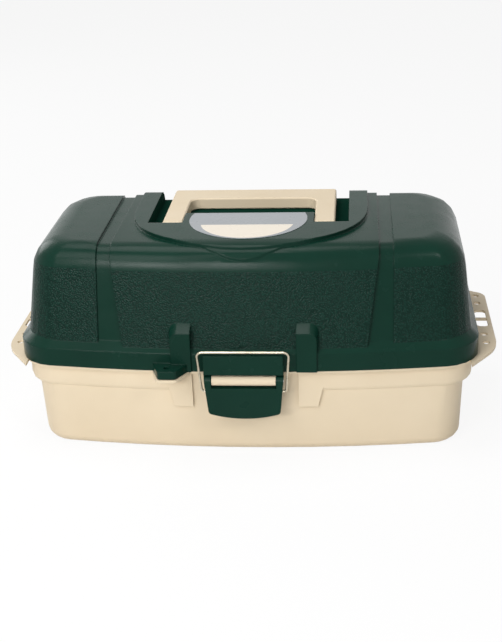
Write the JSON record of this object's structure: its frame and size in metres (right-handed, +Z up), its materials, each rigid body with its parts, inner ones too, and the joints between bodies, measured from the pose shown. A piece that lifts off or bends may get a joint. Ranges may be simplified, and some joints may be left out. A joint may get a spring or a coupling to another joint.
{
  "type": "tackle box",
  "caption": "Moulded tackle box with a rear-hinged lid, a lever latch with a wire bail, a fold-down carrying handle and cantilever trays that rise as the lid opens.",
  "frame": {"origin": "centre of the flat underside, midway between the rim's front and rear", "axes": "+X to the right as seen from the front, the latch faces -Y, +Z is up"},
  "size_m": [0.468, 0.2419, 0.2014],
  "materials": {
    "lid_green": "moulded, leather grain on the panels and satin elsewhere",
    "latch_green": "moulded satin",
    "base_cream": "moulded satin",
    "tray_cream": "moulded satin",
    "label_plate": "printed gloss",
    "bail_wire": "plated wire",
    "zinc_steel": "zinc plated"
  },
  "bodies": {
    "base": {"base_shell": "base_cream", "hinge_pins": "zinc_steel", "arm_pivot_rivets": "zinc_steel"},
    "lid": {"lid_shell": "lid_green", "label": "label_plate", "handle_pins": "zinc_steel", "link_lid_rivets": "zinc_steel"},
    "handle": {"handle": "base_cream"},
    "latch_lever": {"latch_lever": "latch_green", "latch_lever_pin": "zinc_steel"},
    "latch_bail": {"latch_bail": "bail_wire"},
    "rear_arms": {"rear_arm_left": "zinc_steel", "rear_arm_right": "zinc_steel", "link_arm_rivets": "zinc_steel"},
    "front_arms": {"front_arm_left": "zinc_steel", "front_arm_right": "zinc_steel"},
    "lid_links": {"lid_link_left": "zinc_steel", "lid_link_right": "zinc_steel"},
    "tray_1": {"tray_1": "tray_cream", "tray_1_dividers": "tray_cream", "tray_1_rivets": "zinc_steel"},
    "tray_2": {"tray_2": "tray_cream", "tray_2_dividers": "tray_cream", "tray_2_rivets": "zinc_steel"},
    "tray_3": {"tray_3": "tray_cream", "tray_3_dividers": "tray_cream", "tray_3_rivets": "zinc_steel"}
  },
  "joints": [
    {"name": "lid_hinge", "type": "hinge", "parent": "base", "child": "lid", "pos_m": [0, 0.11245, 0.0878], "axis": [-1, 0, 0], "range_deg": [0, 94]},
    {"name": "rear_arms_pivot", "type": "hinge", "parent": "base", "child": "rear_arms", "pos_m": [0, 0.05616, 0.08099], "axis": [-1, 0, 0], "range_deg": [0, 94]},
    {"name": "front_arms_pivot", "type": "hinge", "parent": "base", "child": "front_arms", "pos_m": [0, 0.03116, 0.08099], "axis": [-1, 0, 0], "range_deg": [0, 94]},
    {"name": "lid_links_pivot", "type": "hinge", "parent": "rear_arms", "child": "lid_links", "pos_m": [0, -0.01484, 0.1472], "axis": [1, 0, 0], "range_deg": [0, 94]},
    {"name": "tray_1_pivot", "type": "hinge", "parent": "rear_arms", "child": "tray_1", "pos_m": [0, 0.02956, 0.1058], "axis": [1, 0, 0], "range_deg": [0, 94]},
    {"name": "tray_2_pivot", "type": "hinge", "parent": "rear_arms", "child": "tray_2", "pos_m": [0, -0.00004, 0.1334], "axis": [1, 0, 0], "range_deg": [0, 94]},
    {"name": "tray_3_pivot", "type": "hinge", "parent": "rear_arms", "child": "tray_3", "pos_m": [0, -0.02964, 0.161], "axis": [1, 0, 0], "range_deg": [0, 94]},
    {"name": "handle_swing", "type": "hinge", "parent": "lid", "child": "handle", "pos_m": [0, -0.0101, 0.19425], "axis": [1, 0, 0], "range_deg": [0, 95]},
    {"name": "latch_lever_pivot", "type": "hinge", "parent": "base", "child": "latch_lever", "pos_m": [0, -0.11135, 0.0812], "axis": [-1, 0, 0], "range_deg": [0, 100]},
    {"name": "latch_bail_pivot", "type": "hinge", "parent": "latch_lever", "child": "latch_bail", "pos_m": [0, -0.11285, 0.0712], "axis": [-1, 0, 0], "range_deg": [-130, 0]}
  ],
  "couplings": [
    {"joint": "rear_arms_pivot", "follows": "lid_hinge", "ratio": 1},
    {"joint": "front_arms_pivot", "follows": "lid_hinge", "ratio": 1},
    {"joint": "lid_links_pivot", "follows": "lid_hinge", "ratio": 1},
    {"joint": "tray_1_pivot", "follows": "lid_hinge", "ratio": 1},
    {"joint": "tray_2_pivot", "follows": "lid_hinge", "ratio": 1},
    {"joint": "tray_3_pivot", "follows": "lid_hinge", "ratio": 1},
    {"joint": "latch_bail_pivot", "follows": "latch_lever_pivot", "ratio": -1.3}
  ]
}
